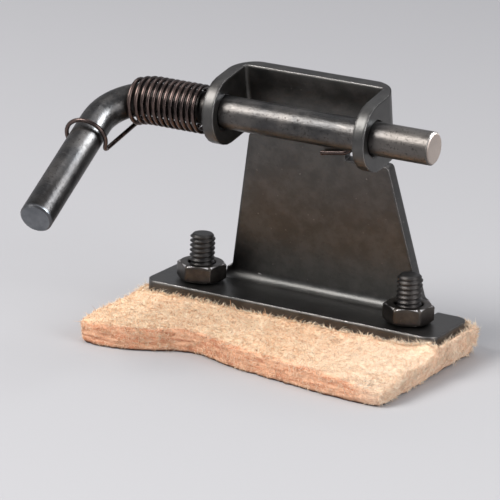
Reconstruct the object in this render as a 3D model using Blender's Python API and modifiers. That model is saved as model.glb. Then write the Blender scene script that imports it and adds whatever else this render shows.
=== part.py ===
"""Spring-loaded rod holder of a leather skiving machine, in metres with +Z up.

A pressed steel bracket stands on a leather pad, held down by two screws and nuts. A bent rod
turns in the bracket's two ears, and a torsion spring wound round it hooks over its arm at one
end and through a slot in the bracket at the other.

The origin is on the pad's underside, midway between the two screws. +X runs along the rod,
and the arm points towards -Y.
"""

from math import acos, atan2, ceil, cos, exp, hypot, pi, radians, sin, sqrt, tan

import bmesh
import bpy
import numpy as np
from mathutils import Matrix, Vector
from mathutils.geometry import delaunay_2d_cdt

MM = 0.001

# Clearances between pieces
SEAT_GAP = 0.3 * MM
BORE_CLEARANCE = 0.3 * MM
OVERRUN = 2 * MM
WELD = 0.01 * MM

# Leather pad
PAD_THICKNESS = 4.5 * MM
PAD_PAST_LEFT = 1.5 * MM
PAD_PAST_RIGHT = 0.5 * MM
PAD_FRONT = 27.4 * MM
PAD_REAR = 11.5 * MM
PAD_CORNER_POWER = 28
PAD_EDGE_BEVEL = 0.7 * MM
PAD_UNDERCUT = 0.5 * MM
PAD_NOTCH_PLACE = -11.5 * MM
PAD_NOTCH_DEPTH = 5.6 * MM
PAD_NOTCH_SPREAD = 8 * MM
PAD_SWEEP_PLACE = 2 * MM
PAD_SWEEP_DEPTH = 2.8 * MM
PAD_SWEEP_SPREAD = 13 * MM
PAD_CORNER_THINNING_SHARE = 0.55
PAD_COLUMNS = 22
PAD_ROWS = 14

# Bracket, all one pressed sheet
SHEET = 2.2 * MM
FOOT_BEND = 1.6 * MM
EAR_BEND = 0.6 * MM
EDGE_BREAK = 0.36 * MM
LEAN = radians(11.77)

FLANGE_DEPTH = 14.6 * MM
FLANGE_CORNER = 2.5 * MM
FLANGE_WING = 6.48 * MM
SCREW_FROM_END = 8.5 * MM
SCREW_SETBACK = 6.5 * MM

ROD_RISE = 35.64 * MM
PLATE_BEHIND_SCREWS = 5.4 * MM
PLATE_BEHIND_ROD = 7.95 * MM
PLATE_WIDTH = 25.0 * MM
PLATE_OFFSET = 1.8 * MM
PLATE_TAPER = radians(10.6)
PLATE_FOOT_FLARE = 1.1 * MM
PLATE_FOOT_FILLET = 0.9 * MM
BEND_NOTCH = 1.0 * MM
SHOULDER_CORNER = 0.8 * MM

CHANNEL_WIDTH = 32.4 * MM
CHANNEL_OFFSET = 2.1 * MM
EAR_ABOVE_ROD = 5.95 * MM
EAR_BELOW_ROD = 6.55 * MM
EAR_NOSE = 5.0 * MM

SLOT_HEIGHT = 3.2 * MM
SLOT_LENGTH = 10.9 * MM

# Rod
ROD_DIAMETER = 6.0 * MM
ROD_PAST_EAR = 11.4 * MM
ROD_CORNER_FROM_EAR = 21.1 * MM
ARM_LENGTH = 36.7 * MM
ARM_BEND = radians(97)
ARM_DROP = radians(25.4)
ROD_BEND_RADIUS = 8.0 * MM
ROD_END_CHAMFER = 0.35 * MM

# Torsion spring
WIRE = 0.74 * MM
COIL_RADIUS = 4.2 * MM
COIL_PITCH = 1.2 * MM
COIL_TURNS = 12
COIL_FROM_EAR = 2.1 * MM
COIL_HANG = 0.1 * MM
POINTS_PER_CURL = 10
WIRE_BEND = 1.3 * MM
WIRE_TO_PLATE = 0.4 * MM
TAIL_DROP = radians(8)
TAIL_PAST_SLOT_END = 1.1 * MM
TAIL_UNDER_EAR = 1.15 * MM
TAIL_END_REACH = 5.4 * MM
TAIL_END_FALL = 0.9 * MM
LOOP_FROM_CORNER = 13.4 * MM
LOOP_RADIUS = 4.15 * MM
LOOP_SHIFT = 0.3 * MM
LOOP_START = radians(-20)
LOOP_END = radians(225)
LOOP_LEAD = 1.7 * MM

# Screws and nuts
SCREW_DIAMETER = 4.76 * MM
SCREW_ABOVE_FLANGE = 8.9 * MM
SCREW_TIP_CHAMFER = 0.6 * MM
HEAD_DIAMETER = 8.2 * MM
HEAD_HEIGHT = 2.2 * MM
HEAD_RECESS = 0.3 * MM
HEAD_SLOT_WIDTH = 1.2 * MM
HEAD_SLOT_DEPTH = 1.0 * MM
NUT_WIDTH = 8.1 * MM
NUT_HEIGHT = 3.1 * MM
NUT_TURNS = {"left": radians(-11.2), "right": radians(-7.3)}
NUT_SIDES = 6
NUT_CHAMFER = radians(30)

# How finely round shapes are cut, and which edges count as sharp
ARC_STEPS = 6
HOLE_SIDES = 32
ROD_RINGS = 10
ROD_BEND_STEPS = 14
WIRE_RINGS = 1
WIRE_BEND_STEPS = 4
LOOP_STEPS = 14
PRESSED_EDGE = radians(40)
SHARP_EDGE = radians(30)
FLAT_EDGE = radians(1)

# Heights and places that follow from the sizes above. The flange is symmetrical about the
# origin, and its right end is a notch and a wing past the plate's foot.
FOOT = ROD_RISE / cos(LEAN) + PLATE_BEHIND_ROD * tan(LEAN)
PLATE_FOOT_RIGHT = PLATE_OFFSET + PLATE_WIDTH / 2 + FOOT * tan(PLATE_TAPER) + PLATE_FOOT_FLARE
FLANGE_HALF = PLATE_FOOT_RIGHT + BEND_NOTCH + FLANGE_WING
PAD_LEFT = FLANGE_HALF + PAD_PAST_LEFT
PAD_RIGHT = FLANGE_HALF + PAD_PAST_RIGHT
PAD_TOP = PAD_THICKNESS
FLANGE_BOTTOM = PAD_TOP + SEAT_GAP
FLANGE_TOP = FLANGE_BOTTOM + SHEET
ROD_HEIGHT = FLANGE_TOP + ROD_RISE
ROD_AHEAD = PLATE_BEHIND_ROD * cos(LEAN) + FOOT * sin(LEAN) - PLATE_BEHIND_SCREWS
FLANGE_FRONT = -SCREW_SETBACK
FLANGE_REAR = FLANGE_FRONT + FLANGE_DEPTH
SCREW_PLACES = {"left": SCREW_FROM_END - FLANGE_HALF, "right": FLANGE_HALF - SCREW_FROM_END}
ROD_AXIS = Vector((0, -ROD_AHEAD, ROD_HEIGHT))
LEFT_EAR = CHANNEL_OFFSET - CHANNEL_WIDTH / 2
RIGHT_EAR = CHANNEL_OFFSET + CHANNEL_WIDTH / 2
SLOT_START = RIGHT_EAR - SLOT_LENGTH
ROD_RIGHT_END = RIGHT_EAR + ROD_PAST_EAR
ROD_CORNER = LEFT_EAR - ROD_CORNER_FROM_EAR
COIL_START = LEFT_EAR - COIL_FROM_EAR
BORE_RADIUS = SCREW_DIAMETER / 2 + BORE_CLEARANCE
PLATE_BACK = PLATE_BEHIND_ROD + SHEET

# The plate leans over the flange about the rod's axis. Its frame has X along the rod,
# Y square to the plate and Z up along it.
PLATE_FRAME = Matrix.Translation(ROD_AXIS) @ Matrix.Rotation(LEAN, 4, "X")

for old in list(bpy.data.objects):
    bpy.data.objects.remove(old, do_unlink=True)

parts = bpy.data.collections.new("rod_holder")
cutters = bpy.data.collections.new("cutters")
for collection in (parts, cutters):
    bpy.context.scene.collection.children.link(collection)


def material(name, colour, metallic, roughness):
    """A plain finish for one piece."""
    made = bpy.data.materials.new(name)
    made.use_nodes = True
    shader = made.node_tree.nodes["Principled BSDF"]
    shader.inputs["Base Color"].default_value = (*colour, 1)
    shader.inputs["Metallic"].default_value = metallic
    shader.inputs["Roughness"].default_value = roughness
    return made


def add_mesh(name, mesh, frame, collection):
    """A new object that holds the mesh, in the given frame."""
    made = bpy.data.objects.new(name, mesh)
    made.matrix_world = frame
    collection.objects.link(made)
    if collection is cutters:
        made.hide_render = True
        made.display_type = "WIRE"
    return made


def mesh_from_curve(curve_object, collection):
    """Turns a curve object into a mesh with welded caps, under the same name and place."""
    bpy.context.view_layer.update()
    graph = bpy.context.evaluated_depsgraph_get()
    mesh = bpy.data.meshes.new_from_object(curve_object.evaluated_get(graph))
    work = bmesh.new()
    work.from_mesh(mesh)
    bmesh.ops.remove_doubles(work, verts=work.verts, dist=WELD)
    bmesh.ops.recalc_face_normals(work, faces=work.faces)
    work.to_mesh(mesh)
    work.free()
    name = curve_object.name
    frame = curve_object.matrix_world.copy()
    bpy.data.objects.remove(curve_object, do_unlink=True)
    return add_mesh(name, mesh, frame, collection)


def flat_sheet(name, outlines, frame):
    """The first outline filled in the frame's XY plane. The others are round holes in it."""
    points = []
    edges = []
    owners = []
    for number, outline in enumerate(outlines):
        first = len(points)
        points += outline
        owners += [number] * len(outline)
        last = len(points) - 1
        edges += [(index, index + 1) for index in range(first, last)] + [(last, first)]
    places, _, faces, sources, _, _ = delaunay_2d_cdt(points, edges, [], 1, WELD / HOLE_SIDES)
    kept = []
    for face in faces:
        around = {owners[sources[index][0]] for index in face}
        if around == {0} or len(around) > 1:
            kept.append(face)
    mesh = bpy.data.meshes.new(name)
    mesh.from_pydata([(x, y, 0) for x, y in places], [], kept)
    return add_mesh(name, mesh, frame, parts)


def circle(x, y, radius):
    turns = [2 * pi * step / HOLE_SIDES for step in range(HOLE_SIDES)]
    return [Vector((x + radius * cos(turn), y + radius * sin(turn))) for turn in turns]


def round_corners(corners, steps=ARC_STEPS):
    """Points of a closed outline whose corners, given as (x, y, radius), are rounded."""
    outline = []
    for index, (x, y, radius) in enumerate(corners):
        here = Vector((x, y))
        before = (Vector(corners[index - 1][:2]) - here).normalized()
        after = (Vector(corners[(index + 1) % len(corners)][:2]) - here).normalized()
        if radius == 0:
            outline.append(here)
            continue
        half = before.angle(after) / 2
        middle = here + (before + after).normalized() * (radius / sin(half))
        first = here + before * (radius / tan(half)) - middle
        turn = first.angle_signed(here + after * (radius / tan(half)) - middle)
        for step in range(steps + 1):
            outline.append(middle + Matrix.Rotation(-turn * step / steps, 2) @ first)
    return [point for index, point in enumerate(outline) if (point - outline[index - 1]).length > WELD]


def round_path(corners, radius, steps=WIRE_BEND_STEPS):
    """Points of an open path in space whose inner corners are rounded."""
    path = [corners[0]]
    for before, here, after in zip(corners, corners[1:], corners[2:]):
        back = (before - here).normalized()
        ahead = (after - here).normalized()
        half = back.angle(ahead) / 2
        reach = radius / tan(half)
        middle = here + (back + ahead).normalized() * (radius / sin(half))
        first = (here + back * reach - middle).normalized()
        across = (here + ahead * reach - middle).normalized()
        for step in range(steps + 1):
            path.append(middle + first.slerp(across, step / steps) * radius)
    path.append(corners[-1])
    return path


def tube(name, path, diameter, rings, frame, point_radii=None):
    """A round bar along a path, with filled caps."""
    curve = bpy.data.curves.new(name, "CURVE")
    curve.dimensions = "3D"
    curve.bevel_depth = diameter / 2
    curve.bevel_resolution = rings
    curve.use_fill_caps = True
    spline = curve.splines.new("POLY")
    spline.points.add(len(path) - 1)
    for index, (point, place) in enumerate(zip(spline.points, path)):
        point.co = (*place, 1)
        if point_radii:
            point.radius = point_radii[index]
    made = bpy.data.objects.new(name, curve)
    made.matrix_world = frame
    parts.objects.link(made)
    return mesh_from_curve(made, parts)


def turned(name, profile, place, collection):
    """A profile of (radius, height) points, top to bottom, turned about the Z axis."""
    mesh = bpy.data.meshes.new(name)
    points = [(radius, 0, height) for radius, height in profile]
    mesh.from_pydata(points, [(i, i + 1) for i in range(len(points) - 1)], [])
    made = add_mesh(name, mesh, Matrix.Translation(place), collection)
    screw = made.modifiers.new("turn", "SCREW")
    screw.steps = HOLE_SIDES
    screw.render_steps = HOLE_SIDES
    screw.use_merge_vertices = True
    screw.merge_threshold = WELD
    screw.use_normal_calculate = True
    return made


def cylinder(name, radius, length, frame, sides=HOLE_SIDES, collection=cutters):
    """A cylinder or, with few sides, a prism, centred on the frame and along its Z axis."""
    mesh = bpy.data.meshes.new(name)
    work = bmesh.new()
    bmesh.ops.create_cone(
        work, cap_ends=True, segments=sides, radius1=radius, radius2=radius, depth=length
    )
    work.to_mesh(mesh)
    work.free()
    return add_mesh(name, mesh, frame, collection)


def box(name, low, high, frame):
    """A cutter between two corners."""
    mesh = bpy.data.meshes.new(name)
    work = bmesh.new()
    bmesh.ops.create_cube(work, size=1)
    size = high - low
    bmesh.ops.scale(work, vec=size, verts=work.verts)
    bmesh.ops.translate(work, vec=(low + high) / 2, verts=work.verts)
    work.to_mesh(mesh)
    work.free()
    return add_mesh(name, mesh, frame, cutters)


def combine(target, operation, other):
    """Adds an exact Boolean to the target."""
    step = target.modifiers.new(f"{operation.lower()} {other.name}", "BOOLEAN")
    step.operation = operation
    step.object = other
    step.solver = "EXACT"


def break_edges(target, width):
    """Takes the sharpness off the edges, as tumbling after pressing does."""
    bevel = target.modifiers.new("broken edges", "BEVEL")
    bevel.width = width
    bevel.segments = 2
    bevel.limit_method = "ANGLE"
    bevel.angle_limit = PRESSED_EDGE


def smooth_round_faces(target):
    """Smooth shading, with the sharp edges kept."""
    target.data.shade_smooth()
    target.data.set_sharp_from_angle(angle=SHARP_EDGE)


# The leather pad is a plan grid given its thickness in two lifts. Its underside is drawn in by
# the knife's slant, and its upper face by the cut edge's bevel. Its front edge is cut
# with a hollow, deepest left of the middle, and its right front corner is pared thinner.
def pad_place(u, v, height, inset):
    """The point at shares u and v of the pad's half width and half length, at a height in it."""
    largest = max(abs(u), abs(v))
    if largest > 0:
        power = PAD_CORNER_POWER
        drawn_in = largest / (abs(u) ** power + abs(v) ** power) ** (1 / power)
        u, v = u * drawn_in, v * drawn_in
    x = (PAD_RIGHT - PAD_LEFT) / 2 + u * ((PAD_RIGHT + PAD_LEFT) / 2 - inset)
    y = (PAD_REAR - PAD_FRONT) / 2 + v * ((PAD_REAR + PAD_FRONT) / 2 - inset)
    forward = max(0, (FLANGE_FRONT - y) / (FLANGE_FRONT + PAD_FRONT))
    notch = PAD_NOTCH_DEPTH * exp(-(((x - PAD_NOTCH_PLACE) / PAD_NOTCH_SPREAD) ** 2))
    sweep = PAD_SWEEP_DEPTH * exp(-(((x - PAD_SWEEP_PLACE) / PAD_SWEEP_SPREAD) ** 2))
    thinning = PAD_CORNER_THINNING_SHARE * forward**3 * max(0, u) ** 6
    return Vector((x, y + (notch + sweep) * forward, height * (1 - thinning)))


def make_pad():
    mesh = bpy.data.meshes.new("leather_pad")
    work = bmesh.new()
    bmesh.ops.create_grid(work, x_segments=PAD_COLUMNS, y_segments=PAD_ROWS, size=1)
    height = work.verts.layers.float.new("height")
    inset = work.verts.layers.float.new("inset")
    for vertex in work.verts:
        vertex[inset] = PAD_UNDERCUT
    lower = []
    upper = work.faces[:]
    for level, drawn in ((PAD_THICKNESS - PAD_EDGE_BEVEL, 0), (PAD_THICKNESS, PAD_EDGE_BEVEL)):
        lifted = bmesh.ops.extrude_face_region(work, geom=upper)["geom"]
        raised = {item for item in lifted if isinstance(item, bmesh.types.BMVert)}
        for vertex in raised:
            vertex[height] = level
            vertex[inset] = drawn
        bmesh.ops.delete(work, geom=[face for face in lower if face.is_valid], context="FACES")
        lower = upper = [face for face in work.faces if raised.issuperset(face.verts)]
    for vertex in work.verts:
        vertex.co = pad_place(vertex.co.x, vertex.co.y, vertex[height], vertex[inset])
    bmesh.ops.recalc_face_normals(work, faces=work.faces)
    work.to_mesh(mesh)
    work.free()
    pad = add_mesh("leather_pad", mesh, Matrix(), parts)
    roof = HEAD_RECESS + HEAD_HEIGHT + SEAT_GAP
    for side, x in SCREW_PLACES.items():
        place = Matrix.Translation((x, 0, PAD_THICKNESS))
        hole = cylinder(f"pad_hole_{side}", BORE_RADIUS, 2 * (PAD_THICKNESS + OVERRUN), place)
        combine(pad, "DIFFERENCE", hole)
        place = Matrix.Translation((x, 0, (roof - OVERRUN) / 2))
        radius = HEAD_DIAMETER / 2 + BORE_CLEARANCE
        combine(pad, "DIFFERENCE", cylinder(f"pad_sink_{side}", radius, roof + OVERRUN, place))
    pad.data.materials.append(material("leather", (0.62, 0.42, 0.31), 0, 0.9))
    return pad


# The bracket is cut flat as one blank, holes and all, and then folded: a flange, a plate bent
# up from it, and two ears bent forward from the plate's top. The blank's face is the flange's
# top and the plate's front, which is the inside of every bend. Its X runs along the rod, and
# its Y is the distance along the sheet from the line where the flange starts to bend.
BEND_TURN = pi / 2 + LEAN
BEND_LENGTH = FOOT_BEND * BEND_TURN
BEND_Y = PLATE_BEHIND_SCREWS - FOOT_BEND * tan(BEND_TURN / 2)
PLATE_START = FOOT_BEND * tan(BEND_TURN / 2) - FOOT
EAR_FOLD_LENGTH = EAR_BEND * pi / 2
EAR_FOLDS = {-1: LEFT_EAR + SHEET + EAR_BEND, 1: RIGHT_EAR - SHEET - EAR_BEND}
EAR_LENGTH = EAR_FOLD_LENGTH + PLATE_BEHIND_ROD - EAR_BEND + EAR_NOSE


def along_sheet(height):
    """The blank's Y for a height along the plate, measured from the rod's axis."""
    return BEND_LENGTH + height - PLATE_START


def plate_edge(side, height):
    """The blank's X of the plate's tapering edge at a height from the rod's axis."""
    return PLATE_OFFSET + side * (PLATE_WIDTH / 2 - height * tan(PLATE_TAPER))


def bend_side(side):
    """The blank's X where the bend ends, past the plate's flared foot."""
    return plate_edge(side, -FOOT) + side * PLATE_FOOT_FLARE


def plate_side(side):
    """Corners of one side of the plate, from the flange's rear edge up to the ear's nose."""
    rear = FLANGE_REAR - BEND_Y
    notch = bend_side(side) + side * BEND_NOTCH
    below_ear = along_sheet(-EAR_BELOW_ROD)
    above_ear = along_sheet(EAR_ABOVE_ROD)
    nose = (EAR_ABOVE_ROD + EAR_BELOW_ROD) / 2
    ear_end = EAR_FOLDS[side] + side * EAR_LENGTH
    if side > 0:
        shoulder = -EAR_BELOW_ROD - SLOT_HEIGHT
        gap_start = SLOT_START
    else:
        shoulder = -EAR_BELOW_ROD - BEND_NOTCH
        gap_start = EAR_FOLDS[side]
    return [
        (side * FLANGE_HALF, FLANGE_FRONT - BEND_Y, FLANGE_CORNER),
        (side * FLANGE_HALF, rear, FLANGE_CORNER),
        (notch, rear, 0),
        (notch, 0, 0),
        (bend_side(side), 0, 0),
        (bend_side(side), BEND_LENGTH, EDGE_BREAK),
        (plate_edge(side, -FOOT), BEND_LENGTH, PLATE_FOOT_FILLET),
        (plate_edge(side, shoulder), along_sheet(shoulder), SHOULDER_CORNER),
        (gap_start, along_sheet(shoulder), 0),
        (gap_start, below_ear, 0),
        (ear_end, below_ear, nose),
        (ear_end, above_ear, nose),
    ]


def fold(x, y):
    """Where a point of the flat blank's face lies once the sheet is bent."""
    in_wing = not bend_side(-1) - WELD < x < bend_side(1) + WELD
    if y <= 0 or in_wing and y < FLANGE_REAR - BEND_Y + WELD:
        return Vector((x, BEND_Y + y, FLANGE_TOP))
    if y < BEND_LENGTH:
        angle = y / FOOT_BEND
        rise = FOOT_BEND * (1 - cos(angle))
        return Vector((x, BEND_Y + FOOT_BEND * sin(angle), FLANGE_TOP + rise))
    side = 1 if x > CHANNEL_OFFSET else -1
    past = max(0, side * (x - EAR_FOLDS[side]))
    in_ear = y > along_sheet(-EAR_BELOW_ROD) - WELD
    if in_ear and past > 0:
        angle = min(past, EAR_FOLD_LENGTH) / EAR_BEND
        straight = max(0, past - EAR_FOLD_LENGTH)
        x = EAR_FOLDS[side] + side * EAR_BEND * sin(angle)
        forward = EAR_BEND * (1 - cos(angle)) + straight
    else:
        forward = 0
    return PLATE_FRAME @ Vector((x, PLATE_BEHIND_ROD - forward, PLATE_START + y - BEND_LENGTH))


def make_blank():
    """The flat blank with its four holes."""
    outlines = [round_corners(plate_side(1) + plate_side(-1)[::-1])]
    for x in SCREW_PLACES.values():
        outlines.append(circle(x, -BEND_Y, BORE_RADIUS))
    for side, start in EAR_FOLDS.items():
        x = start + side * (EAR_LENGTH - EAR_NOSE)
        outlines.append(circle(x, along_sheet(0), ROD_DIAMETER / 2 + BORE_CLEARANCE))
    return flat_sheet("bracket", outlines, Matrix())


def fold_blank(work):
    """Cuts the sheet across wherever it bends, then bends it."""
    cuts = []
    for step in range(ARC_STEPS + 1):
        share = step / ARC_STEPS
        cuts.append((Vector((0, share * BEND_LENGTH, 0)), Vector((0, 1, 0))))
        for side, start in EAR_FOLDS.items():
            x = start + side * share * EAR_FOLD_LENGTH
            cuts.append((Vector((x, 0, 0)), Vector((1, 0, 0))))
    for place, square in cuts:
        whole = work.verts[:] + work.edges[:] + work.faces[:]
        bmesh.ops.bisect_plane(work, geom=whole, dist=WELD, plane_co=place, plane_no=square)
    for vertex in work.verts:
        vertex.co = fold(vertex.co.x, vertex.co.y)
    bmesh.ops.remove_doubles(work, verts=work.verts, dist=WELD)
    bmesh.ops.dissolve_limit(work, angle_limit=FLAT_EDGE, verts=work.verts, edges=work.edges)
    bmesh.ops.recalc_face_normals(work, faces=work.faces)
    if sum(face.normal.z * face.calc_area() for face in work.faces) < 0:
        bmesh.ops.reverse_faces(work, faces=work.faces)


def make_bracket():
    bracket = make_blank()
    work = bmesh.new()
    work.from_mesh(bracket.data)
    fold_blank(work)
    work.to_mesh(bracket.data)
    work.free()
    sheet = bracket.modifiers.new("sheet", "SOLIDIFY")
    sheet.thickness = SHEET
    sheet.offset = -1
    sheet.use_even_offset = True
    sheet.use_quality_normals = True
    break_edges(bracket, EDGE_BREAK)
    smooth_round_faces(bracket)
    bracket.data.materials.append(material("black_oxide_sheet", (0.03, 0.03, 0.035), 1, 0.38))
    return bracket


# The rod and the spring are placed from the rod's axis: X along it, from midway between the
# screws. The rod's left end is bent round into the arm.
ROD_FRAME = Matrix.Translation(ROD_AXIS)
ARM_FALL = Vector((0, -cos(ARM_DROP), -sin(ARM_DROP)))
ARM_DIRECTION = Vector((-cos(ARM_BEND), 0, 0)) + ARM_FALL * sin(ARM_BEND)
ARM_CORNER = Vector((ROD_CORNER, 0, 0))
ROD_BEND_START = ROD_CORNER + ROD_BEND_RADIUS * tan(ARM_BEND / 2)


def rod_centre(x):
    """The middle of a slice across the rod at x, on its straight part or where it bends away."""
    past = max(0, ROD_BEND_START - x)
    outer = sqrt((ROD_BEND_RADIUS + ROD_DIAMETER / 2) ** 2 - past**2)
    inner = sqrt((ROD_BEND_RADIUS - ROD_DIAMETER / 2) ** 2 - past**2)
    return Vector((x, 0, 0)) + ARM_FALL * (ROD_BEND_RADIUS - (outer + inner) / 2)


def make_rod():
    left = Vector((-1, 0, 0))
    right_end = Vector((ROD_RIGHT_END, 0, 0))
    arm_end = ARM_CORNER + ARM_DIRECTION * ARM_LENGTH
    path = round_path([right_end, ARM_CORNER, arm_end], ROD_BEND_RADIUS, ROD_BEND_STEPS)
    path.insert(1, right_end + left * ROD_END_CHAMFER)
    path.insert(-1, arm_end - ARM_DIRECTION * ROD_END_CHAMFER)
    end_share = 1 - ROD_END_CHAMFER / (ROD_DIAMETER / 2)
    radii = [end_share] + [1] * (len(path) - 2) + [end_share]
    rod = tube("pivot_rod", path, ROD_DIAMETER, ROD_RINGS, ROD_FRAME, radii)
    smooth_round_faces(rod)
    rod.data.materials.append(material("dark_steel_bar", (0.09, 0.08, 0.075), 1, 0.34))
    return rod


# The torsion spring's wire starts with its tip in front of the plate, comes back through the
# slot, runs behind the plate and up to the coil, and ends in an open loop round the arm.
def spring_tail(coil_start, tangent):
    """The corners of the right leg, from its tip to the coil."""
    to_plate = PLATE_FRAME.inverted() @ ROD_FRAME
    start = to_plate @ coil_start
    run = to_plate.to_3x3() @ tangent
    behind = PLATE_BACK + WIRE_TO_PLATE + WIRE / 2
    before = PLATE_BEHIND_ROD - WIRE_TO_PLATE - WIRE / 2
    turn = start + run * ((behind - start.y) / run.y)
    x = SLOT_START + TAIL_PAST_SLOT_END
    z = -EAR_BELOW_ROD - TAIL_UNDER_EAR
    corners = [
        Vector((x - TAIL_END_REACH, before, z - TAIL_END_FALL)),
        Vector((x, before, z)),
        Vector((x, behind, z)),
        turn,
        start,
    ]
    return [to_plate.inverted() @ corner for corner in corners]


def around_axis(angle):
    """The direction square to the rod at an angle from straight down, turning forward."""
    return Vector((0, -sin(angle), -cos(angle)))


def coil_centre(x):
    return rod_centre(x) + Vector((0, 0, -COIL_HANG))


def spring_loop():
    """Points of the loop round the arm, after the corner that leads into it."""
    up = ARM_DIRECTION.cross(Vector((1, 0, 0))).normalized()
    right = up.cross(ARM_DIRECTION)
    centre = ARM_CORNER + ARM_DIRECTION * LOOP_FROM_CORNER + (up - right) * LOOP_SHIFT
    points = []
    for step in range(LOOP_STEPS + 1):
        angle = LOOP_START + (LOOP_END - LOOP_START) * step / LOOP_STEPS
        points.append(centre + (right * cos(angle) + up * sin(angle)) * LOOP_RADIUS)
    entry = right * -sin(LOOP_START) + up * cos(LOOP_START)
    return [points[0] - entry * LOOP_LEAD, *points]


def spring_path():
    loop = spring_loop()
    first = TAIL_DROP
    left_end = COIL_START - COIL_TURNS * COIL_PITCH
    aim = loop[0] - coil_centre(left_end)
    past = atan2(-aim.y, -aim.z) - acos(COIL_RADIUS / hypot(aim.y, aim.z))
    last = COIL_TURNS * 2 * pi + past
    count = ceil((last - first) / (2 * pi) * POINTS_PER_CURL)
    coil = []
    for step in range(count + 1):
        angle = first + (last - first) * step / count
        x = COIL_START - (angle - first) / (2 * pi) * COIL_PITCH
        coil.append(coil_centre(x) + around_axis(angle) * COIL_RADIUS)
    backward = around_axis(first - pi / 2)
    tail = round_path(spring_tail(coil[0], backward), WIRE_BEND)
    leg = round_path([coil[-1], loop[0], loop[1]], WIRE_BEND)
    return tail[:-1] + coil + leg[1:-1] + loop[1:]


def least_gap(path, diameter):
    """The least distance between stretches of the wire that aren't next to each other."""
    points = np.array([tuple(point) for point in path])
    steps = np.linalg.norm(np.diff(points, axis=0), axis=1)
    along = np.concatenate([[0], np.cumsum(steps)])
    spots = np.linspace(0, along[-1], int(along[-1] / (diameter / 3)))
    fine = np.stack([np.interp(spots, along, points[:, axis]) for axis in range(3)], axis=1)
    near = pi * COIL_RADIUS
    least = np.inf
    for index, point in enumerate(fine):
        others = fine[spots > spots[index] + near]
        if len(others):
            least = min(least, np.linalg.norm(others - point, axis=1).min())
    return least - diameter


def make_spring():
    path = spring_path()
    spring = tube("torsion_spring", path, WIRE, WIRE_RINGS, ROD_FRAME)
    smooth_round_faces(spring)
    spring.data.materials.append(material("dark_spring_wire", (0.12, 0.09, 0.07), 1, 0.3))
    print(f"least gap of the spring to itself: {least_gap(path, WIRE) / MM:.2f} mm")
    return spring


def make_screw(side, x):
    """A slotted cheese-head screw, its head let into the pad's underside."""
    shank = SCREW_DIAMETER / 2
    top = FLANGE_TOP + SCREW_ABOVE_FLANGE
    head_top = HEAD_RECESS + HEAD_HEIGHT
    profile = [
        (0, top),
        (shank - SCREW_TIP_CHAMFER, top),
        (shank, top - SCREW_TIP_CHAMFER),
        (shank, head_top),
        (HEAD_DIAMETER / 2, head_top),
        (HEAD_DIAMETER / 2, HEAD_RECESS),
        (0, HEAD_RECESS),
    ]
    screw = turned(f"screw_{side}", profile, (x, 0, 0), parts)
    half = HEAD_DIAMETER / 2 + OVERRUN
    slot = box(
        f"screw_slot_{side}",
        Vector((x - half, -HEAD_SLOT_WIDTH / 2, HEAD_RECESS - OVERRUN)),
        Vector((x + half, HEAD_SLOT_WIDTH / 2, HEAD_RECESS + HEAD_SLOT_DEPTH)),
        Matrix(),
    )
    combine(screw, "DIFFERENCE", slot)
    smooth_round_faces(screw)
    return screw


def make_nut(side, x):
    """A plain hexagon nut, chamfered on both faces."""
    corner = NUT_WIDTH / 2 / cos(pi / NUT_SIDES)
    bottom = FLANGE_TOP + SEAT_GAP
    place = Matrix.Translation((x, 0, bottom + NUT_HEIGHT / 2))
    turned_round = place @ Matrix.Rotation(NUT_TURNS[side], 4, "Z")
    nut = cylinder(f"nut_{side}", corner, NUT_HEIGHT, turned_round, NUT_SIDES, parts)
    flat = NUT_WIDTH / 2
    reach = corner + OVERRUN
    drop = (reach - flat) * tan(NUT_CHAMFER)
    profile = [(0, NUT_HEIGHT), (flat, NUT_HEIGHT), (reach, NUT_HEIGHT - drop)]
    profile += [(reach, drop), (flat, 0), (0, 0)]
    combine(nut, "INTERSECT", turned(f"nut_chamfer_{side}", profile, (x, 0, bottom), cutters))
    hole = cylinder(f"nut_bore_{side}", BORE_RADIUS, NUT_HEIGHT + OVERRUN, place)
    combine(nut, "DIFFERENCE", hole)
    smooth_round_faces(nut)
    return nut


make_pad()
make_bracket()
make_rod()
make_spring()
fastener = material("black_oxide_fastener", (0.035, 0.035, 0.04), 1, 0.36)
for side, x in SCREW_PLACES.items():
    make_screw(side, x).data.materials.append(fastener)
    make_nut(side, x).data.materials.append(fastener)
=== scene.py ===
"""The looks of a skiving machine's spring-loaded rod holder: leather pad, pressed bracket, bent
rod, torsion spring, screws and nuts. Everything is in metres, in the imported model's frame."""

import math
import random

import bmesh
import bpy
from mathutils import Matrix, Vector, noise


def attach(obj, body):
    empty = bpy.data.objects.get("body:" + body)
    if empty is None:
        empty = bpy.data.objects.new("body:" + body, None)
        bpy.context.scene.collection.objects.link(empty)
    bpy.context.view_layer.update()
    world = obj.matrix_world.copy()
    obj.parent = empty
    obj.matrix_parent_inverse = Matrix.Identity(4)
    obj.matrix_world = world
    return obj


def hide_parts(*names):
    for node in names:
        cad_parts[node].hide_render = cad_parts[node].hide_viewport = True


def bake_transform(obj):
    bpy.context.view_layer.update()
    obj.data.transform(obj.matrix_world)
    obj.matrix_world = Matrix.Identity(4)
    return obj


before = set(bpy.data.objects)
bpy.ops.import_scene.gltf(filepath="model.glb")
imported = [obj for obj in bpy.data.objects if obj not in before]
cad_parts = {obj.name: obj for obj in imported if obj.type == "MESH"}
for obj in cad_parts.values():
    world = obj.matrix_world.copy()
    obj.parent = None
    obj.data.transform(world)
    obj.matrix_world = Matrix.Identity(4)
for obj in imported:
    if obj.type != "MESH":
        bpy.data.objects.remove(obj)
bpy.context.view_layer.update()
mm = 0.001

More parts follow.
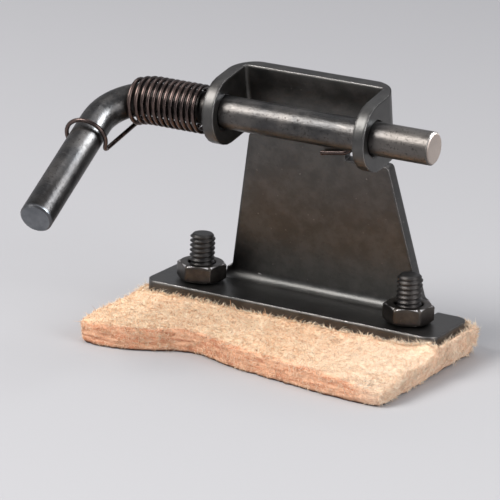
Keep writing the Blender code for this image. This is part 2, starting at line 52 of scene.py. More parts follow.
# Camera and studio
# The part stands on a plain pale grey table, and the camera looks down on its front right from
# about 0.6 m away through a long lens.
scene = bpy.context.scene
scene.view_settings.view_transform = "Standard"
eye = bpy.data.objects.new("eye", bpy.data.cameras.new("eye"))
scene.collection.objects.link(eye)
scene.camera = eye
ahead = Vector((-0.4606, 0.8395, -0.2881)).normalized()
above = Vector((-0.1743, 0.2327, 0.9568)).normalized()
across = ahead.cross(above)
facing = Matrix((across, across.cross(ahead), -ahead)).transposed().to_4x4()
eye.matrix_world = Matrix.Translation((0.26255, -0.49938, 0.18581)) @ facing
eye.data.lens = 232.9
eye.data.sensor_width = 36
eye.data.clip_start = 0.01


class Signal:
    """A number, colour or vector on its way through a material's nodes."""

    def __init__(self, finish, socket):
        self.finish = finish
        self.socket = socket

    def _maths(self, operation, first, second):
        return self.finish.node("ShaderNodeMath", {"operation": operation}, {0: first, 1: second})

    def __add__(self, other):
        return self._maths("ADD", self, other)

    __radd__ = __add__

    def __sub__(self, other):
        return self._maths("SUBTRACT", self, other)

    def __rsub__(self, other):
        return self._maths("SUBTRACT", other, self)

    def __mul__(self, other):
        return self._maths("MULTIPLY", self, other)

    __rmul__ = __mul__

    def __gt__(self, other):
        return self._maths("GREATER_THAN", self, other)


class Finish:
    """One procedural material. Each method adds a node and gives back what comes out of it."""

    def __init__(self, name, **uniform):
        self.material = bpy.data.materials.new(name)
        self.material.use_nodes = True
        self.shader = self.material.node_tree.nodes["Principled BSDF"]
        for socket, value in uniform.items():
            self.shader.inputs[socket.replace("_", " ")].default_value = value
        self.place = self.node("ShaderNodeTexCoord", {}, {}, "Object")

    def node(self, kind, settings, inputs, output=0):
        made = self.material.node_tree.nodes.new(kind)
        for name, value in settings.items():
            setattr(made, name, value)
        for name, value in inputs.items():
            self.feed(made.inputs[name], value)
        return Signal(self, made.outputs[output])

    def feed(self, socket, value):
        if isinstance(value, Signal):
            self.material.node_tree.links.new(value.socket, socket)
        else:
            socket.default_value = value

    def noise(self, scale, detail=3.0, roughness=0.55, place=None, distortion=0.0):
        wanted = {"Vector": place or self.place, "Scale": scale, "Detail": detail}
        wanted.update({"Roughness": roughness, "Distortion": distortion})
        return self.node("ShaderNodeTexNoise", {}, wanted, "Fac")

    def stretched(self, x, y, z):
        """The place in the object, with its axes stretched, for marks that run one way."""
        return self.node("ShaderNodeMapping", {}, {"Vector": self.place, "Scale": (x, y, z)})

    def between(self, value, low, high):
        """Takes a value's stretch from low to high smoothly from 0 to 1."""
        wanted = {"Value": value, "From Min": low, "From Max": high}
        return self.node("ShaderNodeMapRange", {"interpolation_type": "SMOOTHSTEP"}, wanted)

    def blend(self, share, first, second):
        colours = [value if isinstance(value, Signal) else (*value, 1) for value in (first, second)]
        wanted = {0: share, 6: colours[0], 7: colours[1]}
        return self.node("ShaderNodeMix", {"data_type": "RGBA"}, wanted, 2)

    def attribute(self, name):
        return self.node("ShaderNodeAttribute", {"attribute_name": name}, {}, "Fac")

    def axes(self):
        parted = self.node("ShaderNodeSeparateXYZ", {}, {"Vector": self.place}).socket.node
        return [Signal(self, parted.outputs[number]) for number in range(3)]

    def bump(self, height, depth, under=None):
        wanted = {"Height": height, "Distance": depth}
        if under:
            wanted["Normal"] = under
        return self.node("ShaderNodeBump", {}, wanted)

    def finish(self, **varying):
        for socket, value in varying.items():
            self.feed(self.shader.inputs[socket.replace("_", " ")], value)
        return self.material


def clear_selection():
    for item in list(bpy.context.selected_objects):
        item.select_set(False)


def work_on(piece):
    """Makes a piece the only one selected, and the active one."""
    clear_selection()
    piece.select_set(True)
    bpy.context.view_layer.objects.active = piece


def named(name):
    """Names the primitive that was just added, and its mesh."""
    piece = bpy.context.object
    piece.name = piece.data.name = name
    return piece


clear_selection()
bpy.ops.mesh.primitive_plane_add(size=6, location=(0, 1, 0))
table = named("table")
surface = Finish("table_top", Roughness=0.8, Specular_IOR_Level=0.1)
# The table's colour is painted darker towards the back and a little lighter towards the right, a
# painted falloff of the lamps' light.
table_x, table_y, _ = surface.axes()
rightward = surface.between(table_x, -130 * mm, 170 * mm)
backward = surface.between(table_y, -60 * mm, 190 * mm)
near = surface.blend(rightward, (0.445, 0.442, 0.455), (0.50, 0.497, 0.507))
far = surface.blend(rightward, (0.290, 0.290, 0.293), (0.330, 0.330, 0.333))
table.data.materials.append(surface.finish(Base_Color=surface.blend(backward, near, far)))

room = bpy.data.worlds.new("room")
room.use_nodes = True
room.node_tree.nodes["Background"].inputs["Color"].default_value = (0.94, 0.95, 1, 1)
room.node_tree.nodes["Background"].inputs["Strength"].default_value = 0.42
scene.world = room


def softbox(name, place, aim, width, height, power, colour):
    """Hangs a rectangular lamp at a place, with its face towards aim."""
    lamp = bpy.data.objects.new(name, bpy.data.lights.new(name, "AREA"))
    lamp.data.shape = "RECTANGLE"
    lamp.data.size = width
    lamp.data.size_y = height
    lamp.data.energy = power
    lamp.data.color = colour
    towards = (Vector(aim) - Vector(place)).to_track_quat("-Z", "Y").to_matrix().to_4x4()
    lamp.matrix_world = Matrix.Translation(place) @ towards
    scene.collection.objects.link(lamp)
    return lamp


softbox("softbox_key", (-0.38, -0.42, 0.56), (0, 0, 0.02), 0.46, 0.4, 7.2, (1, 0.985, 0.965))
softbox("softbox_back", (-0.02, 0.28, 0.70), (0, 0, 0.02), 0.42, 0.3, 0.9, (0.95, 0.97, 1))
arm_lamp = softbox(
    "softbox_over_arm", (0.40, 0.42, 0.50), (-0.04, -0.03, 0.03), 0.4, 0.36, 15.0, (0.86, 0.93, 1)
)
softbox("softbox_side", (0.75, -0.16, 0.35), (0, 0, 0.03), 0.5, 0.6, 3.8, (0.97, 0.98, 1))


# Bracket
# One steel blank, pressed and folded into a flange, a leaning plate and two ears, then blacked
# in hot oxide salts. The press drew its outer corners round, and handling rubbed its edges bright.
def edit_whole(piece, *steps):
    """Takes each step, an operator with its settings, on the whole piece in edit mode."""
    work_on(piece)
    bpy.ops.object.mode_set(mode="EDIT")
    bpy.ops.mesh.select_all(action="SELECT")
    for operator, settings in steps:
        operator(**settings)
    bpy.ops.object.mode_set(mode="OBJECT")


def change(piece, kind, **settings):
    """Gives a piece one modifier and applies it."""
    modifier = piece.modifiers.new(kind.lower(), kind)
    for name, value in settings.items():
        setattr(modifier, name, value)
    work_on(piece)
    bpy.ops.object.modifier_apply(modifier=modifier.name)


def carve(piece, tool, operation="DIFFERENCE"):
    """Cuts a tool's shape out of a piece, or keeps what they share, and drops the tool."""
    bpy.context.view_layer.update()
    change(piece, "BOOLEAN", operation=operation, object=tool)
    bpy.data.objects.remove(tool)


merge = (bpy.ops.mesh.remove_doubles, {"threshold": 0.002 * mm})
face_outwards = (bpy.ops.mesh.normals_make_consistent, {"inside": False})


def copy_of(node, name):
    """A merged copy of a CAD node, to be finished as a piece of its own."""
    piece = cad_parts[node].copy()
    piece.data = piece.data.copy()
    piece.parent = None
    piece.matrix_world = Matrix()
    piece.name = piece.data.name = name
    piece.data.materials.clear()
    scene.collection.objects.link(piece)
    edit_whole(piece, merge, (bpy.ops.mesh.dissolve_limited, {"angle_limit": math.radians(0.6)}))
    return piece


def mark_worn_edges(piece, sharpness):
    """Marks the faces under half a millimetre wide along each sharp edge with a 1, as worn."""
    narrowness = 0.5 * mm
    work = bmesh.new()
    work.from_mesh(piece.data)
    worn = work.faces.layers.float.new("worn")
    for face in work.faces:
        longest = max(edge.calc_length() for edge in face.edges)
        turned = 0
        for edge in face.edges:
            if edge.calc_length() > 0.55 * longest and len(edge.link_faces) == 2:
                turned = max(turned, edge.calc_face_angle())
        narrow = face.calc_area() < narrowness * longest
        face[worn] = 1.0 if narrow and turned > math.radians(sharpness) else 0.0
    work.to_mesh(piece.data)
    work.free()


def smooth_shade(piece, angle):
    work_on(piece)
    bpy.ops.object.shade_smooth_by_angle(angle=math.radians(angle), keep_sharp_edges=False)


def keep_flats_flat(piece):
    """Weights the smoothed normals by area, so that only the rounded edges shade round."""
    change(piece, "WEIGHTED_NORMAL", keep_sharp=True, weight=100)


def oxide_steel(name, dark, light, gloss, ruddy=0.3):
    """Black oxide over steel, rubbed through to bare metal where the mesh is marked worn."""
    steel = Finish(name, Metallic=1.0)
    mottle = steel.between(steel.noise(260, 5, 0.68), 0.36, 0.66)
    clouds = steel.between(steel.noise(38, 2), 0.46, 0.64)
    grain = steel.noise(6200, 2, 0.65)
    freckles = steel.between(steel.noise(2300, 3, 0.7), 0.62, 0.72)
    specks = steel.between(steel.noise(1500, 2, 0.5), 0.735, 0.765)
    red_brown = [shade * share for shade, share in zip(light, (1.12, 0.88, 0.80))]
    base = steel.blend(mottle, dark, light)
    base = steel.blend(clouds * ruddy, base, red_brown)
    base = steel.blend(freckles * 0.45, base, [shade * 0.45 for shade in dark])
    base = steel.blend(specks * 0.35, base, (0.45, 0.40, 0.37))
    rubbed = steel.attribute("worn") * steel.between(steel.noise(620, 3, 0.65), 0.30, 0.50)
    base = steel.blend(rubbed, base, (0.88, 0.84, 0.82))
    rough = gloss + mottle * 0.08 + (grain - 0.5) * 0.16 - rubbed * 0.1
    eased_edges = steel.node("ShaderNodeBevel", {"samples": 6}, {"Radius": 0.75 * mm}, "Normal")
    surface = steel.bump(steel.noise(900, 3), 0.028 * mm, eased_edges)
    surface = steel.bump(grain, 0.012 * mm, surface)
    return steel.finish(Base_Color=base, Roughness=rough, Normal=surface)


bracket = copy_of("bracket", "bracket_sheet")
rod_axis = Vector((0, -10.147, 42.636)) * mm
plate_lean = math.radians(11.77)
plate_place = Matrix.Rotation(plate_lean, 4, "X")
left_ear_face = -14.1 * mm
right_ear_face = 18.3 * mm
ear_middle = 0.2 * mm
ear_height = 13.6 * mm
corner_radius = 5.0 * mm
corner_inset = 4.98 * mm
corner_back = 5.17 * mm
bar_length = 20 * mm
for side, ear_face in ((-1, left_ear_face), (1, right_ear_face)):
    # A block with a round bar taken out of it cuts the outer corner. The inner one stays sharp.
    centre = Vector((ear_face - side * corner_inset, corner_back, ear_middle))
    outward = Vector((side * corner_radius, corner_radius, 0)) / 2
    clear_selection()
    bpy.ops.mesh.primitive_cube_add(size=1)
    corner = named("corner_block")
    corner.scale = (corner_radius, corner_radius, ear_height)
    corner.location = centre + outward * 1.04
    clear_selection()
    bpy.ops.mesh.primitive_cylinder_add(vertices=128, radius=corner_radius, depth=bar_length)
    round_bar = named("corner_round")
    round_bar.location = centre
    carve(corner, round_bar)
    corner.matrix_world = Matrix.Translation(rod_axis) @ plate_place @ corner.matrix_world
    carve(bracket, corner)
change(bracket, "BEVEL", width=0.3 * mm, segments=2, angle_limit=math.radians(62))
mark_worn_edges(bracket, 20)
smooth_shade(bracket, 40)
keep_flats_flat(bracket)
bracket.data.materials.append(
    oxide_steel("bracket_black_oxide", (0.080, 0.079, 0.077), (0.112, 0.109, 0.105), 0.34, 0.12)
)
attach(bracket, "bracket")
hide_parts("bracket")


# Pivot rod
# A drawn steel bar, bent hot into an arm and rubbed with oil, so that it is dark and smooth.
# Its ends were sawn and chamfered after that, and the right one is still bare.
rod = copy_of("pivot_rod", "rod_bar")
smooth_shade(rod, 30)
keep_flats_flat(rod)
arm_drop = math.radians(25.4)
arm_bend = math.radians(97)
arm_fall = Vector((0, -math.cos(arm_drop), -math.sin(arm_drop)))
arm = Vector((-math.cos(arm_bend), 0, 0)) + arm_fall * math.sin(arm_bend)
arm_reach = max(vertex.co.dot(arm) for vertex in rod.data.vertices)
burnished = Finish("burnished_bar", Metallic=1.0)
rod_x = burnished.axes()[0]
streaks = burnished.noise(1100, 4, 0.65, burnished.stretched(0.16, 1, 1))
patches = burnished.between(burnished.noise(170, 4, 0.62), 0.38, 0.66)
pits = burnished.between(burnished.noise(2100, 3, 0.65), 0.56, 0.68)
covered_left = -31.5 * mm
covered_right = -14.2 * mm
bare_end = 29.55 * mm
# The rod is painted darker from the coil's left end to just short of the left ear. This is painted
# shade from the coil and the ear, not a mark on the steel.
painted_coil_shade = burnished.between(rod_x, covered_left, covered_left + 1.5 * mm)
painted_coil_shade = painted_coil_shade * (1 - (rod_x > covered_right))
tail_end = burnished.between(rod_x, 17 * mm, 24 * mm)
sawn = rod_x > bare_end
skin = burnished.blend(patches, (0.060, 0.059, 0.059), (0.118, 0.110, 0.104))
skin = burnished.blend(tail_end * 0.7, skin, (0.155, 0.140, 0.128))
skin = burnished.blend(burnished.between(streaks, 0.56, 0.70) * 0.35, skin, (0.21, 0.195, 0.185))
skin = burnished.blend(pits * 0.7, skin, (0.030, 0.026, 0.024))
skin = burnished.blend(painted_coil_shade * 0.8, skin, (0.014, 0.012, 0.011))
skin = burnished.blend(sawn, skin, (0.34, 0.285, 0.25))
along_arm = burnished.node(
    "ShaderNodeVectorMath", {"operation": "DOT_PRODUCT"}, {0: burnished.place, 1: arm}, "Value"
)
# The arm's end face is painted lighter and bluish, a painted reflection, and the chamfered rim
# round it carries a painted highlight.
arm_end = along_arm > arm_reach - 0.04 * mm
arm_rim_painted_highlight = burnished.between(along_arm, arm_reach - 0.9 * mm, arm_reach - 0.3 * mm)
skin = burnished.blend(arm_rim_painted_highlight * 0.3, skin, (0.30, 0.31, 0.33))
arm_end_painted_reflection = burnished.blend(patches, (0.14, 0.147, 0.158), (0.22, 0.226, 0.238))
skin = burnished.blend(arm_end, skin, arm_end_painted_reflection)
ground = burnished.noise(3600, 2, 0.65, burnished.stretched(0.5, 1, 1))
rod_rough = 0.33 + patches * 0.07 + (ground - 0.5) * 0.3 + pits * 0.12
rod_rough = rod_rough + tail_end * 0.05 + sawn * 0.1
waviness = burnished.bump(burnished.noise(700, 4, 0.6), 0.06 * mm)
rod_surface = burnished.bump(ground, 0.018 * mm, waviness)
rod.data.materials.append(
    burnished.finish(Base_Color=skin, Roughness=rod_rough, Normal=rod_surface)
)
# The lamp behind the object lights the rod alone, for the long highlight on its arm.
arm_lamp.light_linking.receiver_collection = bpy.data.collections.new("lit_by_strip")
arm_lamp.light_linking.receiver_collection.objects.link(rod)
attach(rod, "rod")
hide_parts("pivot_rod")


# Torsion spring
# Oil-tempered wire wound over the rod in twelve close turns. Its right leg passes behind the
# plate and back through the slot. Its left leg ends in an open loop round the arm.
arm_corner = Vector((-35.2 * mm, 0, 0))
rod_radius = 3 * mm
bend_radius = 8 * mm
bend_start = arm_corner.x + bend_radius * math.tan(arm_bend / 2)
wire = 0.80 * mm
coil_radius = 4.1 * mm
coil_pitch = 1.17 * mm
coil_turns = 12
coil_start = -16.2 * mm
coil_sag = 0.25 * mm


def coil_centre(x):
    """The middle of the coil at x. It hangs from the rod and follows the first of its bend."""
    past = max(0, bend_start - x)
    outer = math.sqrt((bend_radius + rod_radius) ** 2 - past**2)
    inner = math.sqrt((bend_radius - rod_radius) ** 2 - past**2)
    return Vector((x, 0, -coil_sag)) + arm_fall * (bend_radius - (outer + inner) / 2)


def coil_point(angle, x):
    return coil_centre(x) + Vector((0, -math.sin(angle), -math.cos(angle))) * coil_radius


def rounded(corners, radius, steps=8):
    """Points of a path whose inner corners are rounded, as a wire bends."""
    path = [corners[0]]
    for before, here, after in zip(corners, corners[1:], corners[2:]):
        back = (before - here).normalized()
        onward = (after - here).normalized()
        half = back.angle(onward) / 2
        middle = here + (back + onward).normalized() * (radius / math.sin(half))
        first = (here + back * (radius / math.tan(half)) - middle).normalized()
        last = (here + onward * (radius / math.tan(half)) - middle).normalized()
        for step in range(steps + 1):
            path.append(middle + first.slerp(last, step / steps) * radius)
    path.append(corners[-1])
    return path


# The loop goes round the arm and is left open, with a short straight lead into it.
arm_up = arm.cross(Vector((1, 0, 0))).normalized()
arm_right = arm_up.cross(arm)
loop_radius = 3.78 * mm
loop_from_corner = 13.4 * mm
loop_slack = 0.1 * mm
loop_start = math.radians(-20)
loop_sweep = math.radians(245)
loop_steps = 32
loop_lead = 1.7 * mm
loop_centre = arm_corner + arm * loop_from_corner + (arm_up - arm_right) * loop_slack
loop = []
for step in range(loop_steps + 1):
    angle = loop_start + loop_sweep * step / loop_steps
    spoke = arm_right * math.cos(angle) + arm_up * math.sin(angle)
    loop.append(loop_centre + spoke * loop_radius)
loop_entry = arm_up * math.cos(loop_start) - arm_right * math.sin(loop_start)
loop.insert(0, loop[0] - loop_entry * loop_lead)

# The coil leaves its last turn where the wire runs straight at the loop's lead.
coil_left = coil_start - coil_turns * coil_pitch
aim = loop[0] - coil_centre(coil_left)
leaving = math.atan2(-aim.y, -aim.z) - math.acos(coil_radius / math.hypot(aim.y, aim.z))
coil_from = math.radians(8)
coil_to = 2 * math.pi * coil_turns + leaving
coil_steps = 360
coil = []
for step in range(coil_steps + 1):
    angle = coil_from + (coil_to - coil_from) * step / coil_steps
    coil.append(coil_point(angle, coil_start - (angle - coil_from) / (2 * math.pi) * coil_pitch))

# The tail, in the leaning plate's own frame: from its tip on the plate's front, back through
# the slot, and along behind the plate to the coil.
heading = Vector((0, math.cos(coil_from), -math.sin(coil_from)))
start = plate_place.inverted() @ coil[0]
run = plate_place.inverted().to_3x3() @ heading
behind_plate = 10.98 * mm
before_plate = 7.13 * mm
slot_x = 8.5 * mm
slot_z = -7.7 * mm
tip_x = 3.1 * mm
tip_z = -8.6 * mm
tail = [
    Vector((tip_x, before_plate, tip_z)),
    Vector((slot_x, before_plate, slot_z)),
    Vector((slot_x, behind_plate, slot_z)),
    start + run * ((behind_plate - start.y) / run.y),
    start,
]
tail = rounded([plate_place @ corner for corner in tail], 1.3 * mm)
leg = rounded([coil[-1], loop[0], loop[1]], 1.1 * mm)
wire_path = tail[:-1] + coil + leg[1:-1] + loop[1:]

wire_curve = bpy.data.curves.new("spring_wire", "CURVE")
wire_curve.dimensions = "3D"
wire_curve.bevel_depth = wire / 2
wire_curve.bevel_resolution = 3
wire_curve.use_fill_caps = True
strand = wire_curve.splines.new("POLY")
strand.points.add(len(wire_path) - 1)
for point, place in zip(strand.points, wire_path):
    point.co = (*(place + rod_axis), 1)
spring = bpy.data.objects.new("spring_wire", wire_curve)
scene.collection.objects.link(spring)
work_on(spring)
bpy.ops.object.convert(target="MESH")
spring = bpy.context.object
edit_whole(spring, merge, face_outwards)
smooth_shade(spring, 50)

tempered = Finish("tempered_wire", Metallic=1.0)
tone = tempered.between(tempered.noise(260, 3, 0.6), 0.36, 0.66)
drawn = tempered.noise(3000, 2, 0.6)
wire_colour = tempered.blend(tone, (0.060, 0.046, 0.043), (0.125, 0.090, 0.080))
spring.data.materials.append(
    tempered.finish(
        Base_Color=wire_colour,
        Roughness=0.24 + tone * 0.08 + (drawn - 0.5) * 0.1,
        Normal=tempered.bump(drawn, 0.006 * mm),
    )
)
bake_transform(spring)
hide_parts("torsion_spring")


# Screws
# Two blacked steel screws come up through the pad and the flange. Their slotted heads are let
# into the leather's underside, and their threads are cut right up to a chamfered tip.
screw_steel = oxide_steel("screw_black_oxide", (0.046, 0.045, 0.045), (0.086, 0.080, 0.076), 0.36)
flange_top = 7.0 * mm
screw_spacing = 43 * mm
thread_start = flange_top + 0.4 * mm
screw_top = flange_top + 8.9 * mm
half_thread = (screw_top - thread_start) / 2
crest = 2.36 * mm
root = 1.88 * mm
thread_pitch = 0.907 * mm
plain_foot = 0.2 * mm
tip_chamfer = 0.6 * mm
tip_slope = 0.95
crest_share = 0.14
flank_share = 0.72


def thread_radius(turns):
    """The radius of the thread at a number of pitches along it: flat crest, vee, rounded root."""
    share = turns % 1
    slope = min(1, max(0, (abs(share - 0.5) * 2 - crest_share) / flank_share))
    return root + (crest - root) * (1 - slope**1.15)


def divide_lengthwise(piece, shortest, cuts):
    """Cuts across a piece's edges that climb further than shortest."""
    work_on(piece)
    bpy.ops.object.mode_set(mode="EDIT")
    for edge in bmesh.from_edit_mesh(piece.data).edges:
        edge.select_set(abs(edge.verts[0].co.z - edge.verts[1].co.z) > shortest)
    bpy.ops.mesh.subdivide(number_cuts=cuts)
    bpy.ops.object.mode_set(mode="OBJECT")


for side, x in (("left", -screw_spacing / 2), ("right", screw_spacing / 2)):
    clear_selection()
    bpy.ops.mesh.primitive_cylinder_add(
        vertices=64, radius=crest, depth=2 * half_thread, end_fill_type="NGON"
    )
    stud = named(f"screw_{side}_steel")
    divide_lengthwise(stud, shortest=mm, cuts=104)
    for vertex in stud.data.vertices:
        spot = vertex.co
        turns = spot.z / thread_pitch - math.atan2(spot.y, spot.x) / (2 * math.pi)
        into_tip = max(0, spot.z - (half_thread - tip_chamfer))
        radius = min(thread_radius(turns), crest - into_tip * tip_slope)
        if spot.z + half_thread < plain_foot:
            radius = crest
        shrink = radius / math.hypot(spot.x, spot.y)
        spot.x *= shrink
        spot.y *= shrink
    stud.data.transform(Matrix.Translation((x, 0, thread_start + half_thread)))

    # The solid's own head and plain shank go on below, cut off just inside the thread.
    head = copy_of(f"screw_{side}", f"screw_{side}_head")
    shank_end = {"plane_co": (x, 0, thread_start + 0.1 * mm), "plane_no": (0, 0, 1)}
    edit_whole(head, (bpy.ops.mesh.bisect, {**shank_end, "clear_outer": True, "use_fill": True}))
    work_on(stud)
    head.select_set(True)
    bpy.ops.object.join()
    smooth_shade(stud, 32)
    stud.data.materials.clear()
    stud.data.materials.append(screw_steel)
    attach(stud, "bracket")
    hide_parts(f"screw_{side}")


# Nuts
# Plain hexagon nuts, turned with a 30 degree chamfer on both faces, tapped and blacked. The
# blacking has worn off along the corners where a spanner has bitten.
nut_steel = oxide_steel("nut_black_oxide", (0.060, 0.055, 0.051), (0.104, 0.092, 0.082), 0.33)
nut_width = 8.1 * mm
nut_height = 3.1 * mm
nut_bottom = flange_top + 0.3 * mm
bore_radius = 2.68 * mm
nut_corner = nut_width / 2 / math.cos(math.pi / 6)
dome_radius = nut_corner * 1.2
chamfer_width = dome_radius - nut_width / 2
chamfer_rise = chamfer_width * math.tan(math.radians(30))
for side, x, twist in (("left", -screw_spacing / 2, -11.2), ("right", screw_spacing / 2, -7.3)):
    clear_selection()
    bpy.ops.mesh.primitive_cylinder_add(vertices=6, radius=nut_corner, depth=nut_height)
    nut = named(f"nut_{side}_steel")
    nut.data.transform(Matrix.Rotation(math.radians(twist), 4, "Z"))
    # A wide disc with a cone at each end leaves the chamfers on the six corners.
    clear_selection()
    bpy.ops.mesh.primitive_cylinder_add(vertices=96, radius=dome_radius, depth=nut_height)
    dome = named("nut_chamfer")
    bpy.ops.object.mode_set(mode="EDIT")
    ends = bmesh.from_edit_mesh(dome.data)
    for end in (1, -1):
        for face in ends.faces:
            face.select_set(face.normal.z * end > 0.9)
        bpy.ops.mesh.inset(thickness=chamfer_width, depth=0)
        bpy.ops.transform.translate(value=(0, 0, end * chamfer_rise))
    bpy.ops.object.mode_set(mode="OBJECT")
    for vertex in dome.data.vertices:
        vertex.co.z -= math.copysign(chamfer_rise, vertex.co.z)
    clear_selection()
    bpy.ops.mesh.primitive_cylinder_add(vertices=64, radius=bore_radius, depth=nut_height * 2)
    bore = named("nut_bore")
    carve(nut, dome, "INTERSECT")
    carve(nut, bore)
    change(nut, "BEVEL", width=0.12 * mm, segments=2, angle_limit=math.radians(24))
    nut.data.transform(Matrix.Translation((x, 0, nut_bottom + nut_height / 2)))
    mark_worn_edges(nut, 12)
    smooth_shade(nut, 30)
    keep_flats_flat(nut)
    nut.data.materials.append(nut_steel)
    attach(nut, "bracket")
    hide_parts(f"nut_{side}")


# Leather pad
# Vegetable-tanned leather about 4.5 mm thick, cut with a knife and screwed on flesh side up.
# The flesh side is raw and fuzzy, the cut edges show matted fibres, and the grain is below.
pad = copy_of("leather_pad", "leather_slab")
mesh_step = 0.31 * mm
change(pad, "REMESH", mode="VOXEL", voxel_size=mesh_step)
change(pad, "SMOOTH", factor=0.5, iterations=4)
flange_low = Vector((-30, -6.5, 0)) * mm
flange_high = Vector((30, 8.1, 0)) * mm
squeeze_reach = 1.5 * mm
squeeze_rise = 0.55 * mm
squeeze_rise_right = 1.1 * mm
right_bulge = 0.75 * mm


def ramp(value, low, high):
    """Takes a value from 0 at low to 1 at high, smoothly."""
    share = min(1, max(0, (value - low) / (high - low)))
    return share * share * (3 - 2 * share)


def past_flange(spot):
    """How far a spot lies past the flange's ends and past its long sides, below 0 inside."""
    past_x = max(flange_low.x - spot.x, spot.x - flange_high.x)
    past_y = max(flange_low.y - spot.y, spot.y - flange_high.y)
    return past_x, past_y


pad_mesh = pad.data
cut_edge = pad_mesh.attributes.new("cut_edge", "FLOAT", "POINT")
grain_and_contact_shadow = pad_mesh.attributes.new("grain_and_contact_shadow", "FLOAT", "POINT")
normals = [vertex.normal.copy() for vertex in pad_mesh.vertices]
for vertex, normal in zip(pad_mesh.vertices, normals):
    spot = vertex.co.copy()
    sideways = math.hypot(normal.x, normal.y)
    right_end = ramp(spot.x, 24 * mm, 30 * mm)
    cut_edge.data[vertex.index].value = ramp(sideways, 0.45, 0.85) * (1 - 0.6 * right_end)
    # The underside and the lowest half millimetre or so of every edge are marked: the dark grain
    # layer, and along the table a painted contact shadow as well.
    under = max(ramp(-normal.z, 0.2, 0.6), ramp(-spot.z, -0.6 * mm, -0.3 * mm))
    grain_and_contact_shadow.data[vertex.index].value = under
    past_x, past_y = past_flange(spot)
    past = math.hypot(max(0, past_x), max(0, past_y))
    clamped = past < 0.12 * mm and normal.z > 0.1
    if clamped or normal.z < -0.4:
        continue
    lumps = noise.fractal(spot * 380, 1.0, 2.0, 4)
    nap = noise.fractal(spot * 1500 + Vector((7, 1, 3)), 0.8, 2.1, 3)
    ridges = noise.fractal(Vector((spot.x * 240, spot.y * 240, spot.z * 1400)), 0.9, 2.0, 3)
    rise = lumps * 0.24 + nap * 0.17
    if sideways > 0.5:
        rise = lumps * 0.20 + ridges * 0.20 + 0.1
    spot += normal * (rise * mm)
    # The flange has pressed the leather up around itself, most of all at its right end, and out
    # beyond that end.
    squeezed = math.exp(-((past / squeeze_reach) ** 2)) * ramp(spot.z, 2.2 * mm, 4.2 * mm)
    spot.z += squeezed * (squeeze_rise + squeeze_rise_right * right_end)
    if past_x > 0 and spot.x > 0:
        spot.x += right_bulge * ramp(spot.z, 0.2 * mm, 2.6 * mm) * ramp(spot.y, -24 * mm, -8 * mm)
    spot.z = max(0, spot.z)
    vertex.co = spot
work_on(pad)
bpy.ops.object.shade_smooth()

leather = Finish("flesh_side_leather", Roughness=0.95, Specular_IOR_Level=0.15)
cut_share = leather.attribute("cut_edge")
below = leather.attribute("grain_and_contact_shadow")
blotches = leather.between(leather.noise(95, 4, 0.62), 0.38, 0.66)
matted = leather.noise(1300, 4, 0.7, distortion=0.8)
strands = leather.between(leather.noise(2300, 3, 0.7, distortion=1.4), 0.50, 0.64)
# Dark flecks at random places on the flesh side are painted shade, standing in for the shadows
# between the fibres.
painted_pit_shade = leather.between(leather.noise(780, 4, 0.7), 0.56, 0.70)
flesh = leather.blend(blotches, (0.95, 0.72, 0.49), (0.88, 0.56, 0.34))
flesh = leather.blend(leather.between(matted, 0.42, 0.62) * 0.5, flesh, (0.98, 0.85, 0.66))
flesh = leather.blend(painted_pit_shade * 0.85, flesh, (0.42, 0.20, 0.10))
flesh = leather.blend(strands * 0.35, flesh, (0.56, 0.31, 0.17))
layered = leather.noise(620, 4, 0.68, leather.stretched(0.4, 0.4, 2.4))
edge_colour = leather.blend(
    leather.between(layered, 0.38, 0.62), (0.60, 0.25, 0.14), (0.90, 0.52, 0.33)
)
edge_colour = leather.blend(strands * 0.5, edge_colour, (0.88, 0.62, 0.42))
paler = leather.between(leather.axes()[0], 4 * mm, 28 * mm)
flesh = leather.blend(paler * 0.4, flesh, (0.98, 0.85, 0.70))
colour = leather.blend(cut_share, flesh, edge_colour)
thumbed_corner = Vector((26.6, -25.6, 3.2)) * mm
from_corner = leather.node(
    "ShaderNodeVectorMath",
    {"operation": "DISTANCE"},
    {0: leather.place, 1: thumbed_corner},
    "Value",
)
soil = leather.between(from_corner, 2.6 * mm, 0.5 * mm) * leather.between(matted, 0.35, 0.6)
colour = leather.blend(soil * 0.75, colour, (0.27, 0.22, 0.18))
# The grain side and the foot of the edges take a dark colour, partly the grain's own and partly a
# painted contact shadow.
colour = leather.blend(below, colour, (0.085, 0.045, 0.035))
fuzz = leather.bump(matted, 0.22 * mm, leather.bump(leather.noise(3600, 3, 0.7), 0.08 * mm))
pad.data.materials.append(leather.finish(Base_Color=colour, Normal=fuzz))
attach(pad, "bracket")
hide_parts("leather_pad")


# Leather fibres
# The raw flesh side is a nap of loose fibres, most of them lying down in swirls. Matted ones
# cover the cut edges, and a fringe of longer ones stands up all round the flange.
chance = random.Random(41)
# No fibre reaches further right or back than these, or into the table.
right_limit = 31.6 * mm
rear_limit = 12.3 * mm
floor_limit = 0.02 * mm
root_depth = 0.06 * mm
clear_selection()
bpy.ops.mesh.primitive_cone_add(vertices=3, radius1=1, radius2=0, depth=1)
fibre = named("fibre")
divide_lengthwise(fibre, shortest=0.5, cuts=2)
fibre_points = [vertex.co + Vector((0, 0, 0.5)) for vertex in fibre.data.vertices]
fibre_faces = [tuple(face.vertices) for face in fibre.data.polygons]
bpy.data.objects.remove(fibre)

fluff = Finish("leather_fibre", Roughness=0.9, Specular_IOR_Level=0.15)
fluff_tone = fluff.attribute("tone")
pale = fluff.blend(fluff.between(fluff_tone, 0, 0.5), (1.0, 0.89, 0.71), (0.96, 0.76, 0.55))
pale = fluff.blend(fluff.between(fluff_tone, 0.5, 0.85), pale, (0.85, 0.49, 0.28))
pale = fluff.blend(fluff.between(fluff_tone, 0.9, 0.97), pale, (0.42, 0.20, 0.11))
paler = fluff.between(fluff.axes()[0], 4 * mm, 28 * mm)
pale = fluff.blend(paler * 0.4, pale, (1.0, 0.88, 0.74))
fluff.finish(Base_Color=pale)


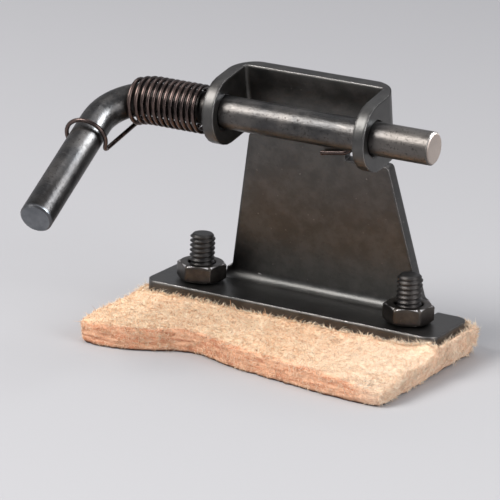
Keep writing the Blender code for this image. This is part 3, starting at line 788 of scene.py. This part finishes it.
def grow(name, roots, count, lengths, lifts, thickness, ruddiness=0.0):
    """Grows curled, tapering fibres from roots, each a place and a normal, as one piece. A
    ruddiness above 0 leaves out the palest of them, and one below 0 makes more of them pale."""
    points = []
    faces = []
    tones = []
    for _ in range(count):
        place, normal = chance.choice(roots)
        length = chance.uniform(*lengths) * mm
        if chance.random() < 0.08:
            length *= 1.7
        flat = normal.orthogonal().normalized()
        swirl = 9 * noise.noise(place * 170) + chance.gauss(0, 0.7)
        flat.rotate(Matrix.Rotation(swirl, 3, normal))
        along = (flat + normal * chance.uniform(*lifts)).normalized()
        bow = normal.cross(along).normalized()
        curl = chance.uniform(-0.55, 0.55)
        sag = chance.uniform(0.1, 0.5)
        thick = chance.uniform(*thickness) * mm
        across_fibre = along.cross(bow).normalized()
        first = len(points)
        for spot in fibre_points:
            share = spot.z
            middle = place - normal * root_depth + along * (share * length)
            middle += bow * (curl * share**2 * length) - normal * (sag * share**3 * length)
            point = middle + (bow * spot.x + across_fibre * spot.y) * thick
            point.x = min(right_limit, point.x)
            point.y = min(rear_limit, point.y)
            point.z = max(floor_limit, point.z)
            points.append(point)
        tone = max(0, chance.random() * (1 - ruddiness) + ruddiness)
        faces += [tuple(first + index for index in face) for face in fibre_faces]
        tones += [tone] * len(fibre_faces)
    mesh = bpy.data.meshes.new(name)
    mesh.from_pydata(points, [], faces)
    layer = mesh.attributes.new("tone", "FLOAT", "FACE")
    layer.data.foreach_set("value", tones)
    grown = bpy.data.objects.new(name, mesh)
    scene.collection.objects.link(grown)
    edit_whole(grown, face_outwards)
    bpy.ops.object.shade_smooth()
    grown.data.materials.append(fluff.material)
    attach(grown, "bracket")


flesh_roots = []
edge_roots = []
fringe_roots = []
rim_roots = []
side_roots = []
for face in pad.data.polygons:
    place = face.center.copy()
    normal = face.normal.copy()
    sideways = math.hypot(normal.x, normal.y)
    past_x, past_y = past_flange(place)
    past = max(past_x, past_y)
    if normal.z < -0.3 or place.z < 0.4 * mm:
        continue
    if sideways > 0.75:
        edge_roots.append((place, normal))
    elif past > 0.5 * mm:
        flesh_roots.append((place, normal))
    # The fringe leans a little away from the flange, and is thicker at its right end.
    if 0.15 * mm < past < 0.9 * mm and place.z > 3.6 * mm:
        away = Vector((0, -0.25, 1))
        if past_x > past_y:
            away = Vector((math.copysign(0.35, place.x), 0, 1))
        elif place.y > 0:
            away = Vector((0, 0.25, 1))
        fringe_roots.append((place, away.normalized()))
        if place.x > 22 * mm:
            fringe_roots += [fringe_roots[-1]] * 2
    if 0.3 < sideways < 0.85 and place.z > 2.5 * mm:
        rim_roots.append((place, normal))
    if normal.x > 0.6:
        side_roots.append((place, normal))

grow("leather_nap", flesh_roots, 12000, (0.6, 1.4), (0.15, 0.8), (0.035, 0.065))
grow("leather_nap_upper", flesh_roots, 9000, (0.4, 1.0), (0.4, 1.6), (0.032, 0.058))
grow("leather_edge_nap", edge_roots, 12000, (0.4, 1.1), (0.15, 0.9), (0.030, 0.058), 0.25)
grow("leather_side_nap", side_roots, 5000, (0.6, 1.5), (0.3, 1.2), (0.030, 0.058))
grow("leather_rim_nap", rim_roots, 3000, (0.6, 1.5), (0.4, 2.0), (0.030, 0.055))
grow("leather_fringe", fringe_roots, 3400, (0.6, 1.6), (0.7, 2.6), (0.046, 0.080), -0.5)
